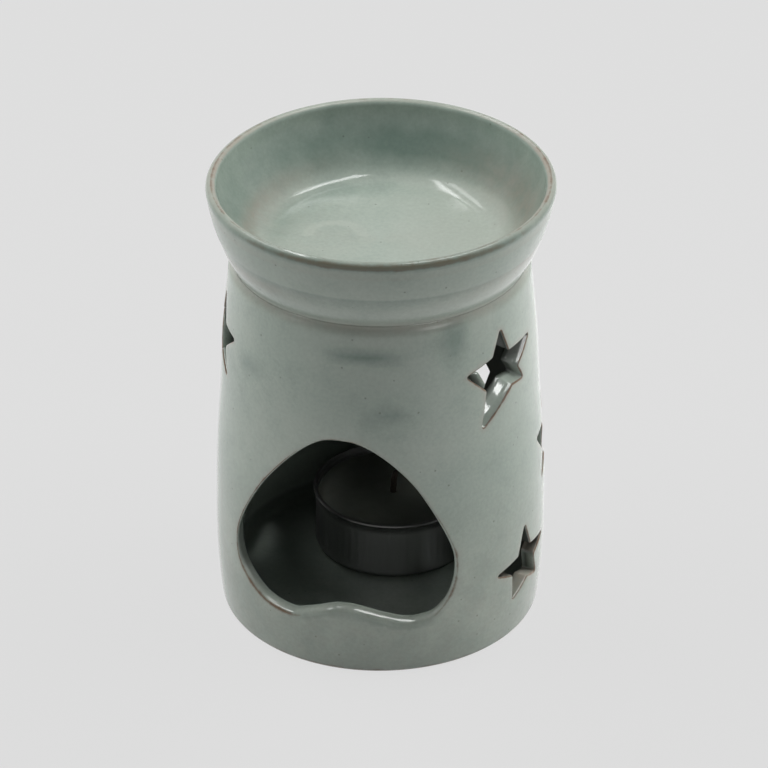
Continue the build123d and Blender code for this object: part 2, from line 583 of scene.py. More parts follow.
@dataclass(frozen=True)
class GrainedFinish:
    """A finish whose colour, gloss and relief follow one fine grain.

    Attributes:
        name: Common name of the real material.
        base: Colour between the grains.
        shade: Colour on the grains, or of the painted shade that darkens the top of a piece.
        grain_mm: Size of a grain.
        gloss: Surface roughness between the grains and on them.
        relief: Strength of the bump, and its height in millimetres.
        stretch: Scale of the grain along each axis.
        detail: Number of finer layers of the grain.
        breakup: Strength of these layers.
        metallic: One for a metal.
        painted_shade_mm: Heights where the painted shade starts and is full, on a piece darkened at the
            top.
        depth: Further values of the shader, by input.
    """

    name: str
    base: str
    shade: str
    grain_mm: float
    gloss: Pair
    relief: Pair = (0.0, 0.0)
    stretch: Triple = (1.0, 1.0, 1.0)
    detail: float = 3.0
    breakup: float = 0.5
    metallic: float = 0.0
    painted_shade_mm: Pair | None = None
    depth: tuple = ()

    def make(self) -> Material:
        """Builds the finish.

        Returns:
            The material.
        """
        material, graph = new_material(self.name)
        place = graph.add("TexCoord", out="Object")
        lie = graph.add("Mapping", {"Vector": place, "Scale": self.stretch})
        pattern = {"Scale": per_mm(self.grain_mm), "Detail": self.detail, "Roughness": self.breakup}
        grain = share = graph.add("TexNoise", {"Vector": lie, **pattern})
        # Painted shade: the colour turns to the darker one over a band of heights.
        if self.painted_shade_mm:
            start, full = (height * MM for height in self.painted_shade_mm)
            up = graph.add("SeparateXYZ", {"Vector": place}, "Z")
            share = graph.add("MapRange", {"Value": up, "From Min": start, "From Max": full})
        low, high = self.gloss
        strength, height = self.relief
        look = {"Base Color": linear(self.base), "Metallic": self.metallic, "Roughness": low}
        look.update(self.depth)
        if self.shade != self.base:
            tints = {0: share, "A": linear(self.base), "B": linear(self.shade)}
            look["Base Color"] = graph.add("Mix", tints, **COLOUR)
        if high != low:
            look["Roughness"] = graph.add("MapRange", {"Value": grain, "To Min": low, "To Max": high})
        if strength:
            bump = {"Strength": strength, "Distance": height * MM, "Height": grain}
            look["Normal"] = graph.add("Bump", bump)
        graph.add("OutputMaterial", {"Surface": graph.add("BsdfPrincipled", look)})
        return material


@dataclass(frozen=True)
class DrawnAluminium(GrainedFinish):
    """Thin aluminium drawn to a cup: bright, with fine upright drawing lines and painted shade that darkens
    its rim.
    """

    name: str = "drawn_aluminium"
    base: str = "#A2A3A3"
    # Grey of the painted shade on the rim and bead, for a cup that stands in the dark chamber.
    shade: str = "#7E7E7D"
    grain_mm: float = 0.5
    gloss: Pair = (0.32, 0.54)
    relief: Pair = (0.2, 0.02)
    stretch: Triple = (1.0, 1.0, 0.06)
    metallic: float = 1.0
    painted_shade_mm: Pair | None = (19.6, 20.1)


@dataclass(frozen=True)
class CandleWax(GrainedFinish):
    """Poured paraffin wax: milky, softly lit from inside, with a dull skin and faint crystals, and its
    colours painted dark as shade for the dark chamber.
    """

    name: str = "paraffin_wax"
    # Painted shade: both colours are far darker than paraffin's own off-white, for wax that stands in the
    # dark chamber.
    base: str = "#74786F"
    shade: str = "#62665E"
    grain_mm: float = 2.2
    gloss: Pair = (0.36, 0.58)
    relief: Pair = (0.25, 0.1)
    detail: float = 5.0
    breakup: float = 0.65
    depth: tuple = (
        ("IOR", 1.44), ("Subsurface Weight", 0.35), ("Subsurface Radius", (1.0, 0.8, 0.55)),
        ("Subsurface Scale", 2.0 * MM),
    )


@dataclass(frozen=True)
class BraidedCotton(GrainedFinish):
    """Braided cotton dipped in wax: matt threads painted dark brown as shade for the dark chamber, a little
    darker between the plaits.
    """

    name: str = "braided_cotton"
    # Painted shade: both colours are darkened, for a wick that stands in the dark chamber.
    base: str = "#5A5247"
    shade: str = "#2B2824"
    grain_mm: float = 0.35
    gloss: Pair = (0.85, 0.85)
    relief: Pair = (0.5, 0.1)


@dataclass(frozen=True)
class TinnedSteel(GrainedFinish):
    """Tin-plated steel strip, stamped: grey and bright, with a fine rolled grain."""

    name: str = "tinned_steel"
    base: str = "#A6A8A9"
    shade: str = "#A6A8A9"
    grain_mm: float = 0.3
    gloss: Pair = (0.22, 0.44)
    stretch: Triple = (0.08, 1.0, 1.0)
    metallic: float = 1.0


@dataclass
class Cutting:
    """One opening cut through the wall.

    Attributes:
        angle: Angle it faces, from the doorway towards +X.
        outline: Samples of sideways place and height, anticlockwise seen from outside.
        slant: How far the knife drifted on its way through the wall, sideways and up.
    """

    angle: float
    outline: list[Vector]
    slant: Pair

    def __post_init__(self) -> None:
        """Puts the outline in anticlockwise order."""
        pairs = zip(self.outline, self.outline[1:] + self.outline[:1])
        if sum(a.x * b.y - b.x * a.y for a, b in pairs) < 0:
            self.outline.reverse()

    def normals(self) -> list[Vector]:
        """Works out which way the clay lies.

        Returns:
            Direction into the clay at each sample.
        """
        count = len(self.outline)
        steps = [self.outline[(i + 1) % count] - self.outline[i - 1] for i in range(count)]
        return [Vector((s.y, -s.x)).normalized() for s in steps]


@dataclass
class PiercedBody:
    """Thrown body with a heart doorway and stars cut through its wall by hand."""

    height: float = 90.0
    belly_radius: float = 38.5
    belly_height: float = 22.0
    foot_radius: float = 37.4
    shoulder_radius: float = 34.6
    shoulder_reach: float = 66.4
    wall: float = 3.5
    floor_height: float = 6.0
    chamber_corner: float = 1.5
    foot_round: float = 1.5
    shoulder_round: float = 3.0
    seat_radius: float = 33.72
    foot_ring_width: float = 7.0
    foot_recess: float = 1.2
    waist_drop: float = 0.4
    waist_height: float = 57.0
    waist_spread: float = 10.0
    door_round: float = 0.6
    sill_round: float = 1.8
    side_round: float = 1.5
    star_round: float = 0.5
    inner_round: float = 0.4
    sill_inner_round: float = 1.3
    sill_jitter: float = 0.17
    sway: float = 0.22
    rings: float = 0.05
    around: int = 216
    outer_rows: int = 72
    inner_rows: int = 68
    seam_angle: float = 125.0
    upper_star: float = 72.7
    middle_star: float = 45.5
    right_star: float = 43.6
    lower_star: float = 18.3
    star_reach: float = 11.0
    star_waist: float = 4.9
    star_jitter: float = 0.6
    star_rounds: Pair = (0.45, 0.9)
    star_spacing: float = 0.9
    skin_depth: float = 2.2
    bare_foot: float = 0.35
    # Share, middle and width of the bands where glaze runs, warms and turns satin.
    run_band: Triple = (0.2, 0.0, 22.0)
    seam_band: Triple = (0.6, 89.6, 1.3)
    satin_band: Triple = (0.25, 88.8, 1.6)
    warm_share: float = 0.28
    warm_from: float = 48.0
    warm_span: float = 30.0
    # Painted shade in the chamber: its share on the floor, low on the walls and high up, and the height
    # where it starts to rise and the height it rises over.
    painted_shade_floor: float = 0.42
    painted_shade_low: float = 0.12
    painted_shade_high: float = 0.84
    painted_shade_from: float = 16.0
    painted_shade_span: float = 12.0
    # Doorway and hand-cut stars: sideways place and height, a star's from its own middle.
    heart: tuple = (
        (-1.9, 61.8), (-5.9, 60.1), (-10.2, 56.4), (-14.6, 51.4), (-19.4, 44.7), (-23.7, 36.5),
        (-26.3, 29.4), (-26.6, 24.3), (-25.3, 20.4), (-22.1, 17.2), (-18.6, 15.2), (-14.8, 14.3),
        (-10.1, 14.4), (-4.8, 16.5), (0.6, 18.2), (5.4, 17.6), (10.2, 16.1), (15.4, 14.7),
        (20.0, 15.3), (23.0, 18.5), (24.6, 23.1), (25.0, 28.2), (24.4, 32.9), (22.0, 40.1),
        (18.4, 47.9), (14.5, 53.6), (9.2, 58.8), (4.0, 61.6),
    )
    star_a: tuple = (
        (-0.4, 10.8), (2.0, 4.3), (12.0, 4.0), (5.1, -1.0), (7.5, -5.0),
        (2.6, -4.4), (-7.7, -11.9), (-5.8, -2.6), (-11.2, 2.8), (-3.5, 4.8),
    )
    star_b: tuple = (
        (-0.5, 11.0), (2.6, 3.8), (11.9, 1.9), (4.7, -0.2), (6.8, -6.4),
        (1.4, -4.5), (-4.8, -7.6), (-5.2, -0.6), (-11.2, 1.7), (-3.1, 3.3),
    )
    star_far: tuple = (
        (-3.3, 10.3), (1.5, 4.7), (8.7, 6.3), (4.9, 0.0), (8.7, -6.3),
        (1.5, -4.7), (-3.3, -10.3), (-5.2, -3.8), (-6.9, 0.3), (-4.4, 3.4),
    )
    # Angle, height, width, spread in height and strength of each pooled smear.
    smears: tuple = (
        (8.5, 83.4, 6.5, 1.4, 0.75), (43.5, 85.0, 3.2, 4.5, 0.55),
        (20.5, 68.9, 4.5, 1.6, 0.3), (16.0, 69.8, 6.5, 4.0, 0.22),
        (-128.0, 70.0, 6.0, 3.0, 0.5), (172.0, 40.0, 8.0, 4.0, 0.45),
        (-40.0, 74.0, 5.0, 3.0, 0.25), (120.0, 78.0, 5.0, 2.0, 0.5),
    )
    cuttings: list[Cutting] = field(default_factory=list)

    def build(self, glaze: Material) -> Object:
        """Models the body and gives it its glaze.

        Args:
            glaze: Glaze of the burner.

        Returns:
            The finished piece.
        """
        self.cuttings = self.cut_outlines()
        bm = bmesh.new()
        coat_layers(bm)
        bm.verts.layers.int.new("sample")
        bm.verts.layers.int.new("skin")
        top, corner = self.height - self.shoulder_round, self.floor_height + self.chamber_corner
        outer = self.sheet(bm, Skin.OUTSIDE, self.foot_round, top, self.outer_rows)
        inner = self.sheet(bm, Skin.INSIDE, corner, self.height, self.inner_rows)
        bmesh.ops.remove_doubles(bm, verts=bm.verts, dist=MERGE)
        for outer_ring, inner_ring in zip(outer, inner):
            made = bmesh.ops.bridge_loops(bm, edges=outer_ring + inner_ring)
            bmesh.ops.subdivide_edges(bm, edges=made["edges"], cuts=2, use_grid_fill=False)
        self.close_ends(bm, top, corner)
        bmesh.ops.remove_doubles(bm, verts=bm.verts, dist=MERGE)
        bmesh.ops.recalc_face_normals(bm, faces=bm.faces)
        bm.normal_update()
        self.coat(bm)
        throw_wobble(bm, self.sway, self.rings)
        settle_seam(bm)
        return make_piece("glazed_body", bm, glaze, Body.BURNER, "burner_body")

    def cut_outlines(self) -> list[Cutting]:
        """Draws the heart and the stars, each a little different as cut by hand.

        Returns:
            The openings, the doorway first.
        """
        heart = smooth_loop([Vector(p) for p in self.heart], 5)
        for point in heart:
            if point.y < 20:
                point.y += self.sill_jitter * noise.noise(Vector((point.x / 1.9, 0.5, 7.1)))
        found = [Cutting(0.0, heart, (0.0, 0.0))]
        draw = random.Random(11)
        plain = []
        for step in range(10):
            reach = self.star_waist if step % 2 else self.star_reach
            turn = math.radians(90 - step * 36)
            plain.append(Vector((reach * math.cos(turn), reach * math.sin(turn))))
        mirrored = [(-x, z) for x, z in self.star_b]
        straight = (0.0, 0.0)
        stars = (
            (66.0, self.upper_star, self.star_a, (-2.4, 1.9)),
            (76.0, self.lower_star, self.star_b, straight),
            (103.0, self.right_star, None, straight),
            (-205.0, self.middle_star, self.star_far, (1.8, -0.7)),
            (-68.0, self.upper_star, None, straight),
            (-112.0, self.middle_star, None, straight),
            (-96.0, self.lower_star, mirrored, (2.8, 2.0)),
            (-172.0, self.upper_star, None, straight),
        )
        stray = self.star_jitter
        for angle, height, traced, slant in stars:
            if traced:
                corners = [Vector(p) for p in traced]
            else:
                strays = ((draw.uniform(-stray, stray), draw.uniform(-stray, stray)) for _ in plain)
                corners = [p + Vector(aside) for p, aside in zip(plain, strays)]
            corners = [p + Vector((0, height)) for p in corners]
            outline = rounded_loop(corners, list(self.star_rounds) * 5, self.star_spacing)
            found.append(Cutting(angle, outline, slant))
        return found

    def radius(self, height: float, skin: Skin) -> float:
        """Gives the wall's radius at a height.

        Args:
            height: Height above the ground.
            skin: Side of the wall.

        Returns:
            Radius of that side.
        """
        rise = height - self.belly_height
        if rise > 0:
            reach = self.shoulder_reach
            drop = self.belly_radius - self.shoulder_radius
        else:
            reach = self.belly_height - self.foot_round
            drop = self.belly_radius - self.foot_radius
        bend = (drop**2 + reach**2) / (2 * drop)
        radius = self.belly_radius - bend + math.sqrt(bend**2 - rise**2)
        radius -= self.waist_drop * bell(height - self.waist_height, self.waist_spread)
        return radius - self.wall if skin is Skin.INSIDE else radius

    def sheet(self, bm: BMesh, skin: Skin, low: float, high: float, rows: int) -> list[list]:
        """Models one side of the wall as a flat sheet with its openings, then wraps it round.

        Args:
            bm: Mesh that gets the sheet.
            skin: Side of the wall.
            low: Height of the sheet's lower end.
            high: Height of the sheet's upper end.
            rows: Number of rows of faces.

        Returns:
            Ring of edges at each opening, where the rounded edge ends.
        """
        half = math.pi * self.belly_radius
        grid = bmesh.ops.create_grid(bm, x_segments=self.around, y_segments=rows, size=1.0)["verts"]
        bmesh.ops.scale(bm, vec=(half, (high - low) / 2, 1), verts=grid)
        middle = math.radians(self.seam_angle) * self.belly_radius - half
        bmesh.ops.translate(bm, vec=(middle, (high + low) / 2, 0), verts=grid)
        rings = [self.open_sheet(bm, cutting, skin) for cutting in self.cuttings]
        done = bm.verts.layers.int["skin"]
        for vert in bm.verts:
            if vert[done]:
                continue
            turn = vert.co.x / self.belly_radius
            radius = self.radius(vert.co.y, skin) + vert.co.z
            vert.co = (radius * math.sin(turn), -radius * math.cos(turn), vert.co.y)
            vert[done] = skin.value
        return rings

    def open_sheet(self, bm: BMesh, cutting: Cutting, skin: Skin) -> list[BMEdge]:
        """Cuts one opening in the flat sheet and rounds its edge over.

        Args:
            bm: Mesh with the flat sheet.
            cutting: Opening to cut.
            skin: Side of the wall that the sheet is.

        Returns:
            Edges of the ring where the rounded edge meets the cut face.
        """
        done = bm.verts.layers.int["skin"]
        sample = bm.verts.layers.int["sample"]
        layers = coat_layers(bm)
        normals = cutting.normals()
        finish = [self.edge_at(cutting, i, into, skin) for i, into in enumerate(normals)]
        steps = DOOR_EDGE if cutting is self.cuttings[0] else STAR_EDGE

        def ring_place(index: int, turn: float) -> Vector:
            """Places a sample on the flat sheet, a part of the way over the rounded edge.

            Args:
                index: Number of the sample.
                turn: Angle gone over the edge.

            Returns:
                Place along the sheet, height, and change of radius.
            """
            edge = finish[index][0]
            point = cutting.outline[index] + normals[index] * edge * (1 - math.sin(turn))
            sunk = edge * (1 - math.cos(turn))
            if skin is Skin.INSIDE:
                point += Vector(cutting.slant)
            else:
                sunk = -sunk
            radius = self.radius(point.y, skin) + sunk
            around = math.radians(cutting.angle) + math.asin(point.x / radius)
            return Vector((around * self.belly_radius, point.y, sunk))

        def dress(vert: BMVert, part: int) -> None:
            """Writes how the glaze lies on one ring of the rounded edge.

            Args:
                vert: Point of the ring.
                part: Number of the ring.
            """
            worn, warm, deep = steps[part]
            bare = finish[vert[sample]][1]
            vert[layers[Coat.THIN]] = worn * bare
            vert[layers[Coat.BLUSH]] = warm * bare
            vert[layers[Coat.POOL]] = deep * max(0.0, -normals[vert[sample]].y) * (1 - bare)

        rim = [ring_place(i, 0.0) for i in range(len(normals))]
        low = Vector((min(p.x for p in rim), min(p.y for p in rim)))
        high = Vector((max(p.x for p in rim), max(p.y for p in rim)))
        middle, reach = (low + high) / 2, (high - low) / 2
        doomed = {}
        for vert in bm.verts:
            away = vert.co.xy - middle
            close = abs(away.x) < reach.x + CUT_MARGIN and abs(away.y) < reach.y + CUT_MARGIN
            if close and not vert[done] and near_loop(vert.co.xy, rim, CUT_MARGIN):
                doomed.update(dict.fromkeys(vert.link_faces))
        border = []
        for face in doomed:
            border += [e for e in face.edges if sum(f in doomed for f in e.link_faces) == 1]
        bmesh.ops.delete(bm, geom=list(doomed), context="FACES")
        ring = bmesh.ops.create_circle(bm, segments=len(rim), radius=1.0)["verts"]
        for index, vert in enumerate(ring):
            vert.co = rim[index]
            vert[sample] = index
            dress(vert, 0)
        edges = list(dict.fromkeys(e for v in ring for e in v.link_edges))
        bmesh.ops.triangle_fill(bm, edges=border + edges, use_beauty=True)
        for part in range(1, len(steps)):
            verts, edges = extrude_ring(bm, edges)
            for vert in verts:
                vert.co = ring_place(vert[sample], math.pi / 8 * part)
                dress(vert, part)
        return edges

    def edge_at(self, cutting: Cutting, index: int, into: Vector, skin: Skin) -> Pair:
        """Gives how an opening's edge is finished at one sample.

        Args:
            cutting: Opening that the sample belongs to.
            index: Number of the sample.
            into: Direction into the clay there.
            skin: Side of the wall.

        Returns:
            Rounding radius, soft on the doorway's sill and lower right and crisp on stars, and how far
            the glaze has drawn back: one on stars and on the doorway's left side, less on its sill.
        """
        if cutting is not self.cuttings[0]:
            return self.inner_round if skin is Skin.INSIDE else self.star_round, 1.0
        spot, sill = cutting.outline[index], max(0.0, -into.y)
        bare = max(clamp((-6 - spot.x) / 6), 0.8 * into.y, 0.8 * into.x, 0.25)
        if skin is Skin.INSIDE:
            return self.inner_round + sill * (self.sill_inner_round - self.inner_round), bare
        side = max(0.0, into.x) * clamp((46 - spot.y) / 20) * (self.side_round - self.door_round)
        return self.door_round + max(sill * (self.sill_round - self.door_round), side), bare

    def close_ends(self, bm: BMesh, top: float, corner: float) -> None:
        """Models the shoulder and seat at the top, and the floor, foot and underside below.

        Args:
            bm: Mesh with both wrapped sheets.
            top: Height of the outer sheet's upper end.
            corner: Height of the inner sheet's lower end.
        """
        down = Vector((0, -1))
        ring_inside = self.foot_radius - self.foot_round - self.foot_ring_width
        shoulder = Vector((self.radius(top, Skin.OUTSIDE), top))
        seat = Vector((self.seat_radius, self.height))
        soft = geometry.interpolate_bezier(
            shoulder, shoulder + Vector((-0.05, 1.9)), seat - Vector((0, 1.1)), seat, 10
        )
        foot = Vector((self.radius(self.foot_round, Skin.OUTSIDE), self.foot_round))
        ground = Vector((self.foot_radius - self.foot_round, 0))
        wall_foot = Vector((self.radius(corner, Skin.INSIDE), corner))
        floor_edge = Vector((self.foot_radius - self.wall - self.chamber_corner, self.floor_height))
        mouth = Vector((self.radius(self.height, Skin.INSIDE), self.height))
        recess = Vector((ring_inside - self.foot_recess, self.foot_recess))
        floor = [Vector((r, self.floor_height)) for r in (22, 14, 6, 0)]
        underside = [Vector((ring_inside, 0)), recess]
        underside += [Vector((r, self.foot_recess)) for r in (18, 8, 0)]
        ends = (
            (top, [Vector(p) for p in soft[1:]] + [mouth]),
            (corner, arc_points(wall_foot, down, floor_edge, 5) + floor),
            (self.foot_round, arc_points(foot, down, ground, 5) + underside),
        )
        for start, section in ends:
            ring = [
                e for e in bm.edges
                if e.is_boundary and all(abs(v.co.z - start) < MERGE for v in e.verts)
            ]
            for point in section:
                ring = carry_ring(bm, ring, point.x, point.y)

    def coat(self, bm: BMesh) -> None:
        """Writes how the glaze lies on the skin, on cut faces and in the chamber.

        Args:
            bm: Closed mesh of the body.
        """
        layers = coat_layers(bm)
        star_low, star_high, door_half = 7, 84, 50
        for vert in bm.verts:
            height, radius = vert.co.z, vert.co.xy.length
            bare = height < self.bare_foot or (height < self.foot_round and radius < 30)
            vert[layers[Coat.RAW]] = 1.0 if bare else 0.0
            # Shade painted dark into the chamber and deep in cut faces.
            vert[layers[Coat.SOOT]] = self.painted_shade_at(vert)
            if radius > self.radius(min(max(height, 0), self.height), Skin.OUTSIDE) - self.skin_depth:
                self.coat_skin(vert, layers)
            cut = abs(vert.normal.xy.dot(vert.co.xy)) < 0.7 * radius
            if cut and abs(angle_of(vert.co)) > door_half and star_low < height < star_high:
                vert[layers[Coat.SATIN]] = 0.2 * self.above_star(height)
                if height < 28:
                    vert[layers[Coat.BLUSH]] = max(vert[layers[Coat.BLUSH]], 1.3 * vert.normal.z)

    def coat_skin(self, vert: BMVert, layers: dict) -> None:
        """Writes the smears, the thin foot and the warm seam at one point of the outside.

        Args:
            vert: Point of the outside.
            layers: Mesh layers by coat.
        """
        angle, height, radius = angle_of(vert.co), vert.co.z, vert.co.xy.length
        pool = band(height, self.run_band)
        for at, up, wide, tall, strength in self.smears:
            turn = (angle - at + 180) % 360 - 180
            pool += strength * bell(math.radians(turn) * radius, wide) * bell(height - up, tall)
        vert[layers[Coat.POOL]] += pool
        if height < 1.3:
            vert[layers[Coat.THIN]] = max(vert[layers[Coat.THIN]], 0.6)
        warm = self.warm_share * clamp((self.warm_from - height) / self.warm_span)
        vert[layers[Coat.BLUSH]] = max(vert[layers[Coat.BLUSH]], band(height, self.seam_band), warm)
        vert[layers[Coat.SATIN]] = band(height, self.satin_band)

    def painted_shade_at(self, vert: BMVert) -> float:
        """Gives how much shade is painted dark into the clay at one point.

        Args:
            vert: Point of the closed mesh, with its normal up to date.

        Returns:
            Share of painted shade: most high in the chamber, and deep in cut faces at the back of the body,
                in faces that look down and in the upper arms of stars.
        """
        height, radius = vert.co.z, vert.co.xy.length
        if not self.floor_height - 0.5 < height < self.height - 0.5:
            return 0.0
        if radius < self.radius(height, Skin.INSIDE) + 0.6:
            low = self.painted_shade_floor if height < self.floor_height + 3 else self.painted_shade_low
            return max(low, self.painted_shade_high * clamp((height - self.painted_shade_from) / self.painted_shade_span))
        if height > self.height - 5:
            return 0.0
        depth = self.radius(height, Skin.OUTSIDE) - radius
        angle = math.radians(angle_of(vert.co))
        behind = max(0.0, -math.cos(angle)) * clamp((depth - 0.2) / 2.0)
        if abs(angle) < 0.9 and height < 64:
            return behind
        under = clamp(0.6 - vert.normal.z) * clamp((depth - 0.8) / 1.6)
        upper = self.above_star(height) * clamp((depth - 0.1) / 0.4)
        return max(behind, 0.9 * under, 0.86 * upper)

    def above_star(self, height: float) -> float:
        """Gives the share of the way from the lower to the upper arms of the nearest star.

        Args:
            height: Height above the ground.

        Returns:
            Nought at the lower arms and one at the upper ones.
        """
        stars = (self.upper_star, self.middle_star, self.right_star, self.lower_star)
        middle = min(stars, key=lambda star: abs(star - height))
        return clamp((height - middle + 2.0) / 3)


@dataclass
class OilDish:
    """Flared dish for water and oil, luted to the body's shoulder."""

    base: float = 90.0
    height: float = 19.99
    seat_radius: float = 33.7
    neck_radius: float = 34.6
    neck_rise: float = 2.0
    rim_radius: float = 39.77
    rim_lean: float = 8.5
    lip: float = 2.5
    floor_thickness: float = 4.5
    floor_radius: float = 24.34
    floor_dip: float = 0.25
    bend: Pair = (31.0, 7.8)
    bend_slope: Pair = (0.606, 0.795)
    bend_pull: float = 4.0
    # Middle of the painted highlight crescent on the bowl's floor, seen from the camera, in millimetres.
    highlight_crescent: Triple = (-10.2, 1.3, 0.0)
    # Share, middle and width of the painted highlight crescent, of bands across the lip, the last of them
    # painted shade under its front, in the bowl and at the foot.
    highlight_crescent_band: Triple = (0.4, 6.2, 0.9)
    line_band: Triple = (1.0, -0.1, 0.45)
    crown_band: Triple = (1.0, -0.5, 0.8)
    edge_band: Triple = (0.6, 0.5, 0.6)
    lip_shade_band: Triple = (1.0, 0.9, 0.85)
    pool_band: Triple = (0.2, 24.0, 3.4)
    foot_band: Triple = (0.45, 90.0, 1.0)
    side_turns: Pair = (262.0, 92.0)
    side_spread: float = 34.0
    # Angle from the camera of the bowl wall where teal is deepened as painted shade, and of the part of the
    # floor that is darker teal.
    painted_shade_turn: float = 150.0
    left_turn: float = 222.0
    sway: float = 0.2
    rings: float = 0.06
    steps: int = 240

    def build(self, glaze: Material) -> Object:
        """Models the dish and gives it its glaze.

        Args:
            glaze: Glaze of the burner.

        Returns:
            The finished piece.
        """
        bm = spin_section(self.section(), self.steps)
        self.coat(bm)
        throw_wobble(bm, self.sway, self.rings)
        settle_seam(bm)
        return make_piece("glazed_dish", bm, glaze, Body.BURNER, "oil_dish")

    def section(self) -> list[Vector]:
        """Draws the dish's section.

        Returns:
            Points from the middle of the underside round the lip to the middle of the bowl.
        """
        lean = math.radians(self.rim_lean)
        tilt = Vector((math.sin(lean), math.cos(lean)))
        crest = self.base + self.height - self.lip / 2
        foot = Vector((self.seat_radius, self.base))
        edge = Vector((self.neck_radius, self.base + self.neck_rise))
        outer = Vector((self.rim_radius, crest))
        inner = Vector((self.rim_radius - self.lip, crest))
        floor = Vector((self.floor_radius, self.base + self.floor_thickness))
        flare = [edge] + arc_points(outer, -tilt, edge, 26)[:-1][::-1] + [outer]
        top = Vector((self.rim_radius - self.lip / 2, self.base + self.height))
        lip = arc_points(outer, Vector((0, 1)), top, 5) + arc_points(top, Vector((-1, 0)), inner, 5)
        bend = Vector((self.bend[0], self.base + self.bend[1]))
        slope = Vector(self.bend_slope)
        pull = self.bend_pull
        wall = geometry.interpolate_bezier(inner, inner - tilt * pull, bend + slope * pull, bend, 22)
        wall += arc_points(bend, -slope, floor, 18)
        points = [Vector((r, self.base)) for r in (0, 12, 24)]
        neck = geometry.interpolate_bezier(
            foot, foot + Vector((0.04, 0.7)), edge - Vector((0.38, 0.7)), edge, 8
        )
        points += [Vector(p) for p in neck[:-1]] + flare + lip + [Vector(p) for p in wall[1:]]
        for radius in range(23, -1, -1):
            points.append(Vector((radius, floor.y - self.floor_dip * (1 - (radius / floor.x) ** 2))))
        return points

    def coat(self, bm: BMesh) -> None:
        """Writes how the glaze lies on the lip, in the bowl, outside and along the seam.

        Args:
            bm: Mesh of the dish.
        """
        layers = coat_layers(bm)
        crest, middle = self.base + self.height, self.rim_radius - self.lip / 2
        for vert in bm.verts:
            radius, height = vert.co.xy.length, vert.co.z
            turn = (angle_of(vert.co) - PHOTO_TURN) % 360
            inside = height > self.base + 3 and radius < self.rim_radius - self.lip + 0.4
            if radius > middle - 0.8 and height > crest - 4:
                self.coat_lip(vert, layers, turn)
            if inside:
                self.coat_bowl(vert, layers, turn)
            elif radius < middle or height < crest - 2:
                vert[layers[Coat.SATIN]] = 0.18
            if height < self.base + 3 and not inside:
                vert[layers[Coat.BLUSH]] = band(height, self.foot_band)

    def coat_lip(self, vert: BMVert, layers: dict, turn: float) -> None:
        """Writes the brown line on the crest, the warm glaze beside it, and the olive band of painted shade
        under the lip's front at one point of the lip.

        Args:
            vert: Point of the lip.
            layers: Mesh layers by coat.
            turn: Angle of the point from the camera, in degrees.
        """
        past = vert.co.xy.length - self.rim_radius + self.lip / 2
        below = self.base + self.height - vert.co.z
        front = max(0.0, cos_deg(turn)) ** 1.6
        sides = sum(bell(turn - side, self.side_spread) for side in self.side_turns)
        # Painted shade: an olive band under the lip's outer edge, darkest towards the camera.
        lip_shade = band(below, self.lip_shade_band) if past > 0 else 0.0
        line = (0.5 + 0.32 * sides) * band(past, self.line_band)
        crown = (0.45 + sides) * band(past, self.crown_band)
        edge = (0.5 + 0.5 * sides) * band(past, self.edge_band)
        vert[layers[Coat.THIN]] = max(line, 1.1 * front * lip_shade)
        vert[layers[Coat.BLUSH]] = max(crown, edge)
        vert[layers[Coat.POOL]] = front * lip_shade

    def coat_bowl(self, vert: BMVert, layers: dict, turn: float) -> None:
        """Writes the pooled wall, deepened as painted shade where it faces the camera, the painted
        highlight crescent on the floor and the satin floor at one point of the bowl.

        Args:
            vert: Point of the bowl.
            layers: Mesh layers by coat.
            turn: Angle of the point from the camera, in degrees.
        """
        radius, rise = vert.co.xy.length, vert.co.z - self.base
        across = radius * math.sin(math.radians(turn)) / 25
        climb = clamp((rise - 5.0) / 5)
        near_rim = clamp((rise - 12) / 6)
        behind = max(0.0, cos_deg(turn - self.painted_shade_turn))
        left_back = max(0.0, cos_deg(turn - self.left_turn))
        slant = 0.04 if across < 0 else 0.4 * (1 - climb)
        # Teal of glaze pooled in the bowl, deepened as painted shade on the wall that faces the camera;
        # paler towards the right and darker teal at the floor's left back, as seen from the camera.
        pool = climb * (0.24 + 0.57 * behind) * (1 - 0.6 * near_rim) - slant * across
        pool += left_back * band(radius, self.pool_band) * (1 - climb)
        # Painted highlight: a paler crescent on the far part of the floor.
        ring = vert.co.xy - from_camera(*self.highlight_crescent).xy
        if ring.dot(from_camera(0, 1, 0).xy) > 0:
            pool -= band(ring.length, self.highlight_crescent_band) * (1 - climb)
        lower = bell(rise - 8.5 - 1.5 * across, 3.2 + across)
        vert[layers[Coat.POOL]] = pool
        vert[layers[Coat.BLUSH]] = 0.9 * lower * math.sin(math.radians(turn)) ** 2
        vert[layers[Coat.SATIN]] = 0.25 / (1 + math.exp((radius - 22.5) / 2.2))


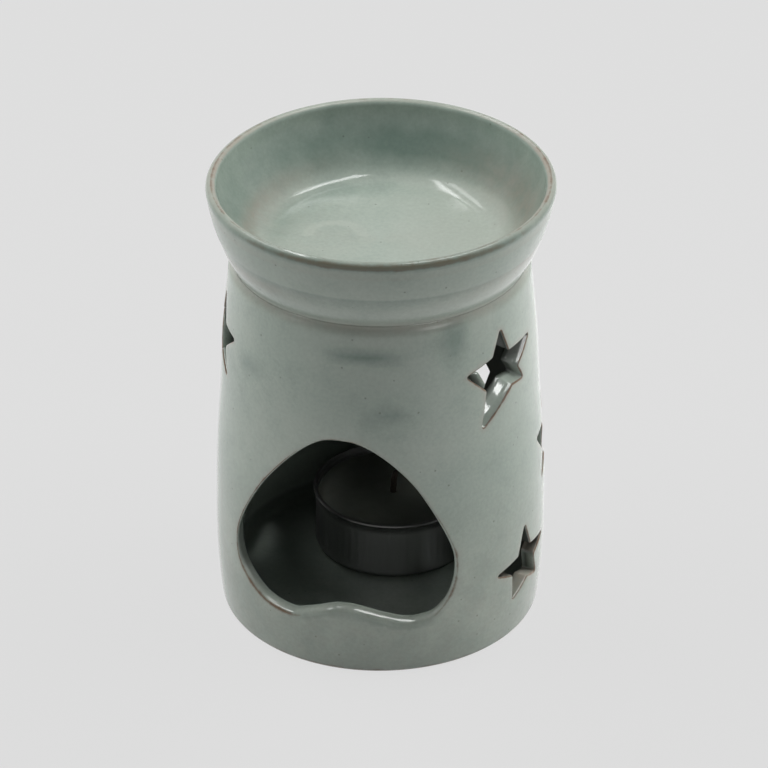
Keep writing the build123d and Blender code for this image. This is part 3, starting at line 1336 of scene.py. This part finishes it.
@dataclass
class Tealight:
    """Tealight that stands in the chamber: cup, wax and wick on one upright axis."""

    setback: float = 12.0
    ground: float = 6.0
    radius: float = 18.5
    bead: float = 0.5
    height: float = 15.0
    sheet: float = 0.35
    base_round: float = 1.5
    flutes: int = 60
    flute_depth: float = 0.05
    wax_top: float = 18.4
    wax_gap: float = 0.04
    wax_round: float = 1.4
    wick_radius: float = 0.8
    wick_top: float = 24.4
    wick_steps: int = 60

    def place(self, bm: BMesh) -> None:
        """Moves a piece modelled on the origin's axis to the tealight's own axis."""
        bmesh.ops.translate(bm, vec=(0, self.setback, 0), verts=bm.verts)

    def build_cup(self, metal: Material) -> Object:
        """Models the drawn cup with its rolled bead.

        Args:
            metal: Finish of the cup.

        Returns:
            The finished piece.
        """
        top, bend = self.ground + self.height, self.ground + self.base_round
        low, high = self.ground + 1.0, top - 2 * self.bead
        inner, floor = self.radius - self.sheet, self.ground + self.sheet
        out, down, foot = Vector((1, 0)), Vector((0, -1)), self.radius - self.base_round
        corners = (
            (foot, self.ground), (self.radius, bend), (self.radius, high), (self.radius, top),
            (inner, top - 0.15), (inner, bend), (foot, floor),
        )
        base, side, bead, crest, inner_top, inner_side, inner_base = (Vector(c) for c in corners)
        section = [Vector((0, self.ground)), Vector((9, self.ground)), base]
        section += arc_points(base, out, side, 6) + [side.lerp(bead, k / 6) for k in range(1, 7)]
        section += arc_points(bead, out, crest, 10)
        section += [inner_top.lerp(inner_side, k / 6) for k in range(7)]
        section += arc_points(inner_side, down, inner_base, 6)
        section += [Vector((9, floor)), Vector((0, floor))]
        bm = spin_section(section, 4 * self.flutes)
        for vert in bm.verts:
            radius = vert.co.xy.length
            if radius > self.radius - 0.6 and low < vert.co.z < high:
                share = math.sin(math.pi * (vert.co.z - low) / (high - low))
                wave = cos_deg(angle_of(vert.co) * self.flutes)
                vert.co.xy *= 1 + self.flute_depth * share * (wave - 1) / radius
        self.place(bm)
        return make_piece("foil_cup", bm, metal, Body.TEALIGHT, "tealight_cup")

    def build_wax(self, wax: Material) -> Object:
        """Models the poured wax, which climbs a little at the cup and at the wick.

        Args:
            wax: Finish of the wax.

        Returns:
            The finished piece.
        """
        rim = self.radius - self.sheet - self.wax_gap
        bottom = self.ground + self.sheet + self.wax_gap
        corner = Vector((rim - self.wax_round, bottom))
        section = [Vector((0, bottom)), Vector((8, bottom)), corner]
        section += arc_points(corner, Vector((1, 0)), Vector((rim, bottom + self.wax_round)), 5)
        section += [Vector((rim, self.wax_top - 2)), Vector((rim, self.wax_top + 0.15))]
        near_cup = tuple(rim - away for away in (0.25, 0.6, 1.2, 2.2))
        for radius in (*near_cup, 14, 11, 8, 5.5, 3.6, 2.4, 1.6, 1.1, 0.86):
            climb = 0.3 * math.exp(-(rim - radius) / 0.8) + 0.5 * math.exp(-(radius - 0.8) / 0.7)
            section.append(Vector((radius, self.wax_top - 0.18 + climb)))
        section.append(Vector((0, self.wax_top + 0.2)))
        bm = spin_section(section, 120)
        for vert in bm.verts:
            if vert.co.z > self.wax_top - 1 and vert.co.xy.length < rim - 0.5:
                vert.co.z += 0.06 * noise.noise(vert.co / 5)
        self.place(bm)
        return make_piece("poured_wax", bm, wax, Body.TEALIGHT, "tealight_wax")

    def build_wick(self, cotton: Material) -> Object:
        """Models the plaited wick, bent a little at its tip.

        Args:
            cotton: Finish of the wick.

        Returns:
            The finished piece.
        """
        bm = bmesh.new()
        low = self.ground + 0.45
        tall = self.wick_top - low
        ring = bmesh.ops.create_circle(bm, segments=30, radius=self.wick_radius, cap_ends=True)["verts"]
        bmesh.ops.translate(bm, vec=(0, 0, low), verts=ring)
        edges = list(bm.edges)
        for _ in range(self.wick_steps):
            verts, edges = extrude_ring(bm, edges)
            bmesh.ops.translate(bm, vec=(0, 0, tall / self.wick_steps), verts=list(verts))
        bmesh.ops.contextual_create(bm, geom=edges)
        bmesh.ops.recalc_face_normals(bm, faces=bm.faces)
        for vert in bm.verts:
            turn = 3 * math.radians(angle_of(vert.co))
            up = (vert.co.z - low) / tall
            plait = 0.5 + 0.25 * math.cos(turn + 40 * up) + 0.25 * math.cos(turn - 40 * up)
            taper = 1 - 0.35 * max(0.0, up - 0.94) / 0.06
            vert.co.xy *= (0.78 + 0.2 * plait) * taper
            vert.co.x += 0.5 * max(0.0, up - 0.7) ** 2 / 0.09
        self.place(bm)
        return make_piece("plaited_wick", bm, cotton, Body.TEALIGHT, "tealight_wick")

    def dress_tab(self, steel: Material) -> None:
        """Gives the CAD tab under the wax its metal.

        Args:
            steel: Finish of the tab.
        """
        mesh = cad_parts["wick_sustainer"].data
        mesh.materials.clear()
        mesh.materials.append(steel)
        log.info("wick_sustainer: kept from the frame")


@dataclass(frozen=True)
class SoftBox:
    """One lamp of the studio, placed by metres to the right of, away from and above the object.

    Attributes:
        name: Name of the lamp.
        place: Where it hangs, seen from the camera.
        aim: Point that it faces.
        size: Its level and its upright side in metres.
        power: Its power in watts.
        seen: What it gives: soft light or a mirrored shine.
    """

    name: str
    place: Triple
    aim: Triple
    size: Pair
    power: float
    seen: Light

    def hang(self) -> None:
        """Hangs the lamp in the scene."""
        data = bpy.data.lights.new(self.name, "AREA")
        data.energy = self.power
        data.shape = "RECTANGLE"
        data.size, data.size_y = self.size
        lamp = bpy.data.objects.new(self.name, data)
        lamp.location = from_camera(*self.place)
        lamp.visible_camera = False
        lamp.visible_glossy = self.seen is not Light.SOFT
        lamp.visible_diffuse = self.seen is Light.SOFT
        if self.seen is Light.GLINT:
            lit = bpy.data.collections.new(self.name)
            lit.objects.link(bpy.data.objects["glazed_body"])
            lamp.light_linking.receiver_collection = lit
        facing = from_camera(*self.aim) - lamp.location
        lamp.rotation_euler = facing.to_track_quat("-Z", "Y").to_euler()
        bpy.context.collection.objects.link(lamp)


@dataclass
class Studio:
    """Light tent with a pale floor, soft lamps and the camera at the photograph's angle."""

    backdrop: str = "#DEDEDE"
    dim: str = "#595959"
    sky: str = "#A4A4A4"
    sheen: Pair = (0.16, 0.5)
    floor_size: float = 8.0
    cover: float = 0.93
    distance: float = 1.1
    elevation: float = 31.28
    aim_side: float = 0.87
    aim_height: float = 55.56
    focal_px: float = 4744.3
    image_px: float = 768.0
    sensor: float = 36.0
    lamps: tuple[SoftBox, ...] = (
        SoftBox("left_bar", (-0.3, 0.16, 0.62), (0.0, 0.16, 0.1), (0.56, 0.16), 2.5, Light.SOFT),
        SoftBox("right_bar", (0.3, 0.16, 0.62), (0.0, 0.16, 0.1), (0.56, 0.16), 1.95, Light.SOFT),
        SoftBox("left_shine", (-0.135, 0.39, 0.62), (-0.008, 0.362, 0.1), (0.6, 0.03), 0.44, Light.SHINE),
        SoftBox("right_shine", (0.135, 0.2, 0.62), (0.0076, 0.257, 0.1), (0.37, 0.055), 0.48, Light.SHINE),
        SoftBox("left_second", (-0.25, 0.35, 0.62), (-0.0214, 0.324, 0.1), (0.46, 0.06), 0.26, Light.SHINE),
        SoftBox("right_second", (0.2, 0.22, 0.62), (0.0316, 0.335, 0.1), (0.22, 0.03), 0.08, Light.SHINE),
        SoftBox("left_front", (-0.72, -0.28, 0.62), (0.0, 0.0, 0.02), (0.18, 0.2), 0.95, Light.GLINT),
        SoftBox("left_above", (-0.27, -0.08, 0.62), (0.0, 0.0, 0.02), (0.12, 0.12), 0.4, Light.GLINT),
        SoftBox("right_front", (0.23, -0.15, 0.62), (0.0, 0.0, 0.02), (0.37, 0.25), 2.6, Light.GLINT),
        SoftBox("star_high", (0.67, -0.59, 0.62), (0.03, -0.02, 0.07), (0.09, 0.09), 0.42, Light.GLINT),
        SoftBox("star_low", (0.58, -0.8, 0.62), (0.03, -0.02, 0.07), (0.07, 0.07), 0.3, Light.GLINT),
        SoftBox("left_wall", (-1.0, 0.04, 0.32), (0.0, 0.0, 0.06), (0.9, 0.8), 3.42, Light.SOFT),
        SoftBox("right_wall", (1.0, 0.08, 0.32), (0.0, 0.0, 0.06), (0.9, 0.8), 6.3, Light.SOFT),
    )

    def build(self) -> None:
        """Sets up the floor, the lamps, the world and the camera."""
        bpy.context.scene.view_settings.view_transform = "Standard"
        self.lay_floor()
        self.light_world()
        for lamp in self.lamps:
            lamp.hang()
        self.aim_camera()

    def lay_floor(self) -> None:
        """Lays the floor, which shows the backdrop's colour and keeps a soft shadow."""
        bm = bmesh.new()
        bmesh.ops.create_grid(bm, x_segments=1, y_segments=1, size=self.floor_size / 2)
        mesh = bpy.data.meshes.new("studio_floor")
        bm.to_mesh(mesh)
        bm.free()
        material, graph = new_material("matt_backdrop_paper")
        shade = linear(self.backdrop)
        share = graph.add("Math", {0: self.seen_rays(graph), 1: self.cover}, operation="MULTIPLY")
        paper = graph.add("BsdfDiffuse", {"Color": shade})
        flat = graph.add("Emission", {"Color": shade, "Strength": self.floor_sheen(graph)})
        mixed = graph.add("MixShader", {0: share, 1: paper, 2: flat})
        graph.add("OutputMaterial", {"Surface": mixed})
        mesh.materials.append(material)
        floor = bpy.data.objects.new("studio_floor", mesh)
        bpy.context.collection.objects.link(floor)

    def floor_sheen(self, graph: Graph) -> NodeSocket:
        """Lets the floor beside and behind the object look brighter in the glaze than to the eye.

        Args:
            graph: Graph of the floor.

        Returns:
            Strength socket, one for the camera.
        """
        place = graph.add("TexCoord", out="Object")
        sheen = graph.add("LightPath", out="Is Glossy Ray")
        for axis, reach, low, high in (
            (from_camera(0, 1, 0), 0.07, 0.0, 1.0), (from_camera(1, 0, 0), 0.05, *self.sheen),
        ):
            along = graph.add("VectorMath", {0: place, 1: axis}, "Value", operation="DOT_PRODUCT")
            span = {"From Min": -reach, "From Max": reach, "To Min": low, "To Max": high}
            ramp = graph.add("MapRange", {"Value": along, **span}, interpolation_type="SMOOTHSTEP")
            sheen = graph.add("Math", {0: sheen, 1: ramp}, operation="MULTIPLY")
        return graph.add("Math", {0: sheen, 1: 1.0}, operation="ADD")

    def seen_rays(self, graph: Graph) -> NodeSocket:
        """Adds up the rays that show the backdrop: camera, glossy and transmission.

        Args:
            graph: Graph that gets the sum.

        Returns:
            Socket that is one for such a ray.
        """
        rays = graph.add("LightPath", out="Is Camera Ray")
        path = rays.node.outputs
        for name in ("Is Glossy Ray", "Is Transmission Ray"):
            rays = graph.add("Math", {0: rays, 1: path[name]}, operation="MAXIMUM")
        return rays

    def light_world(self) -> None:
        """Makes the world pale to the eye and in reflections, and dim as a light."""
        world = bpy.data.worlds.new("studio_world")
        bpy.context.scene.world = world
        world.use_nodes = True
        graph = Graph(world.node_tree)
        mirrored = graph.add("LightPath", out="Is Glossy Ray")
        colour = linear(self.dim)
        for share, tint in ((self.seen_rays(graph), self.backdrop), (mirrored, self.sky)):
            colour = graph.add("Mix", {0: share, "A": colour, "B": linear(tint)}, **COLOUR)
        graph.add("OutputWorld", {"Surface": graph.add("Background", {"Color": colour})})

    def aim_camera(self) -> None:
        """Puts the camera where the photograph was taken from."""
        data = bpy.data.cameras.new("photo_camera")
        data.sensor_width = self.sensor
        data.lens = self.focal_px / self.image_px * self.sensor
        data.clip_end = 20.0
        camera = bpy.data.objects.new("photo_camera", data)
        up = math.radians(self.elevation)
        target = from_camera(self.aim_side * MM, 0.0, self.aim_height * MM)
        back, rise = self.distance * math.cos(up), self.distance * math.sin(up)
        camera.location = target + from_camera(0.0, -back, rise)
        camera.rotation_euler = (target - camera.location).to_track_quat("-Z", "Y").to_euler()
        bpy.context.collection.objects.link(camera)
        bpy.context.scene.camera = camera


def main() -> None:
    """Builds the burner and its tealight, then the studio round them."""
    logging.basicConfig(level=logging.INFO, format="%(name)s %(message)s")
    glaze = CeladonGlaze().make()
    PiercedBody().build(glaze)
    OilDish().build(glaze)
    tealight = Tealight()
    tealight.build_cup(DrawnAluminium().make())
    tealight.build_wax(CandleWax().make())
    tealight.build_wick(BraidedCotton().make())
    tealight.dress_tab(TinnedSteel().make())
    Studio().build()


if __name__ == "__main__":
    main()
